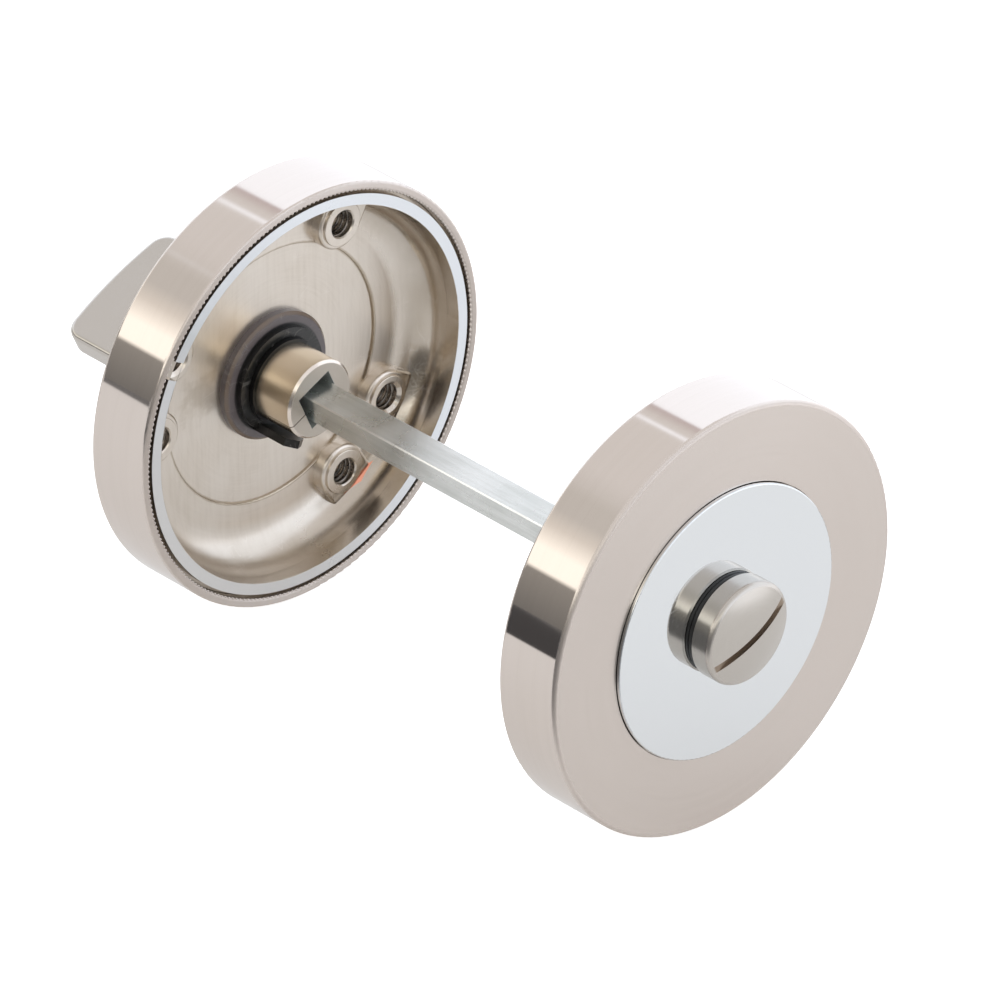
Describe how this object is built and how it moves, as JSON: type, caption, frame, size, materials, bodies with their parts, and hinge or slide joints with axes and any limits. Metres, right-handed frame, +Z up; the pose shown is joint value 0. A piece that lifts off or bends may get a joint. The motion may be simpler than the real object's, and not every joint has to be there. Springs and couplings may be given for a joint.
{
  "type": "bathroom thumb turn lock",
  "caption": "Round bathroom lock roses on a square spindle: a flat thumb turn inside, a coin-slot release button outside, hollow cast backs with tapped bosses.",
  "frame": {"origin": "on the spindle's axis, in the door face of the thumb turn's rose", "axes": "+X along the spindle from the thumb turn to the release button, +Z up as the picture shows it"},
  "size_m": [0.1035, 0.052, 0.052],
  "materials": {
    "satin_nickel": "satin nickel plate, turned grain",
    "polished_chrome": "mirror chrome plate",
    "cast_nickel": "die-cast, satin nickel flash, bright ground rim",
    "turned_nickel": "turned brass with satin nickel plate, polished shaft",
    "moulded_nylon": "dark moulded nylon",
    "black_rubber": "black rubber",
    "spring_steel": "dark spring steel",
    "zinc_steel": "drawn steel bar, dull zinc plate"
  },
  "bodies": {
    "turn_rose": {"turn_cover": "satin_nickel", "turn_disc": "polished_chrome", "turn_casting": "cast_nickel", "turn_bush": "moulded_nylon", "turn_washer": "black_rubber"},
    "thumb_turn": {"thumb_turn": "turned_nickel", "turn_snap_ring": "spring_steel", "spindle": "zinc_steel"},
    "release_rose": {"release_cover": "satin_nickel", "release_disc": "polished_chrome", "release_casting": "cast_nickel", "release_bush": "moulded_nylon", "release_washer": "black_rubber"},
    "release_button": {"release_button": "turned_nickel", "release_snap_ring": "spring_steel"}
  },
  "joints": [
    {"name": "turn_spin", "type": "hinge", "parent": "turn_rose", "child": "thumb_turn", "pos_m": [0, 0, 0], "axis": [1, 0, 0], "range_deg": [-23.5, 66.5]},
    {"name": "rose_slide", "type": "slide", "parent": "turn_rose", "child": "release_rose", "axis": [1, 0, 0], "range_m": [-0.006, 0.002]},
    {"name": "release_spin", "type": "hinge", "parent": "release_rose", "child": "release_button", "pos_m": [0.057, 0, 0], "axis": [1, 0, 0], "range_deg": [-23.5, 66.5]}
  ],
  "couplings": [
    {"joint": "release_spin", "follows": "turn_spin", "ratio": 1}
  ]
}
